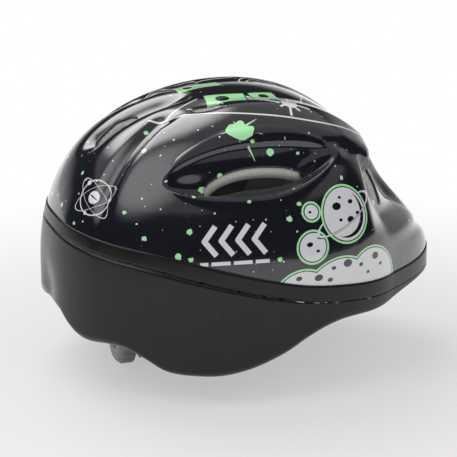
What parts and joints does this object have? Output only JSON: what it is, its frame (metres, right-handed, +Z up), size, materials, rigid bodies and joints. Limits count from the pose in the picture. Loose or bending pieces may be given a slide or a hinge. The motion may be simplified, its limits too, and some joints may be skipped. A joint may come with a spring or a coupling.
{
  "type": "bicycle helmet",
  "caption": "Child's bicycle helmet: glossy vented shell over a satin lower shell, foam liner, dial-adjusted head cradle and webbing harness with side-release buckle.",
  "frame": {"origin": "middle of the head opening, at mid-length of the shells, on the plane of the side lobes' lowest edge", "axes": "+Z up to the crown, -Y to the brow, +X to the wearer's left"},
  "size_m": [0.2032, 0.2603, 0.182],
  "materials": {
    "glossy_shell": "gloss",
    "satin_shell": "satin",
    "tape": "satin",
    "foam": "matte",
    "pad_cloth": "matte",
    "hook_cloth": "matte",
    "webbing": "matte",
    "black_nylon": "satin",
    "smoke_nylon": "satin",
    "grey_nylon": "satin",
    "steel": "satin"
  },
  "bodies": {
    "helmet": {"upper_shell": "glossy_shell", "lower_shell": "satin_shell", "seam_tape": "tape", "foam_liner": "foam", "brow_pad": "pad_cloth", "crown_pad": "pad_cloth", "side_pad_left": "pad_cloth", "side_pad_right": "pad_cloth", "rear_pad_left": "pad_cloth", "rear_pad_right": "pad_cloth", "hook_patches": "hook_cloth", "temple_pins": "black_nylon", "strap_anchors": "black_nylon", "strap_front_left": "webbing", "strap_front_right": "webbing", "strap_rear_left": "webbing", "strap_rear_right": "webbing", "side_slider_left": "black_nylon", "side_slider_right": "black_nylon", "chin_strap_left": "webbing", "chin_strap_right": "webbing", "buckle_socket": "black_nylon", "buckle_clip": "black_nylon", "chin_pad": "pad_cloth"},
    "cradle": {"headband_left": "smoke_nylon", "headband_right": "smoke_nylon", "housing_front": "smoke_nylon", "housing_rear": "smoke_nylon", "housing_screws": "steel", "click_ring": "steel", "nape_pad": "pad_cloth"},
    "dial": {"pinion": "grey_nylon", "dial_knob": "grey_nylon", "dial_screw": "steel"},
    "rack_left": {"rack_left": "grey_nylon"},
    "rack_right": {"rack_right": "grey_nylon"},
    "prong_front": {"prong_front": "black_nylon"},
    "prong_rear": {"prong_rear": "black_nylon"},
    "strap_keeper": {"strap_keeper": "black_nylon"}
  },
  "joints": [
    {"name": "cradle_tilt", "type": "hinge", "parent": "helmet", "child": "cradle", "pos_m": [0, -0.008, 0.052], "axis": [1, 0, 0], "range_deg": [-4, 5]},
    {"name": "dial_turn", "type": "hinge", "parent": "cradle", "child": "dial", "pos_m": [0, 0.08, -0.001], "axis": [0, -1, 0], "range_deg": [-68, 68]},
    {"name": "rack_left_slide", "type": "slide", "parent": "cradle", "child": "rack_left", "axis": [1, 0, 0], "range_m": [-0.006, 0.006]},
    {"name": "rack_right_slide", "type": "slide", "parent": "cradle", "child": "rack_right", "axis": [-1, 0, 0], "range_m": [-0.006, 0.006]},
    {"name": "prong_front_squeeze", "type": "hinge", "parent": "helmet", "child": "prong_front", "pos_m": [0.007, 0.0024, 0.0045], "axis": [0, 0, -1], "range_deg": [0, 10], "stiffness_Nm_per_rad": 0.02},
    {"name": "prong_rear_squeeze", "type": "hinge", "parent": "helmet", "child": "prong_rear", "pos_m": [0.007, 0.0176, 0.0045], "axis": [0, 0, 1], "range_deg": [0, 10], "stiffness_Nm_per_rad": 0.02},
    {"name": "keeper_slide", "type": "slide", "parent": "helmet", "child": "strap_keeper", "axis": [1, 0, 0], "range_m": [-0.008, 0.008]}
  ],
  "couplings": [
    {"joint": "rack_left_slide", "follows": "dial_turn", "m_per_rad": 0.005},
    {"joint": "rack_right_slide", "follows": "dial_turn", "m_per_rad": 0.005}
  ]
}
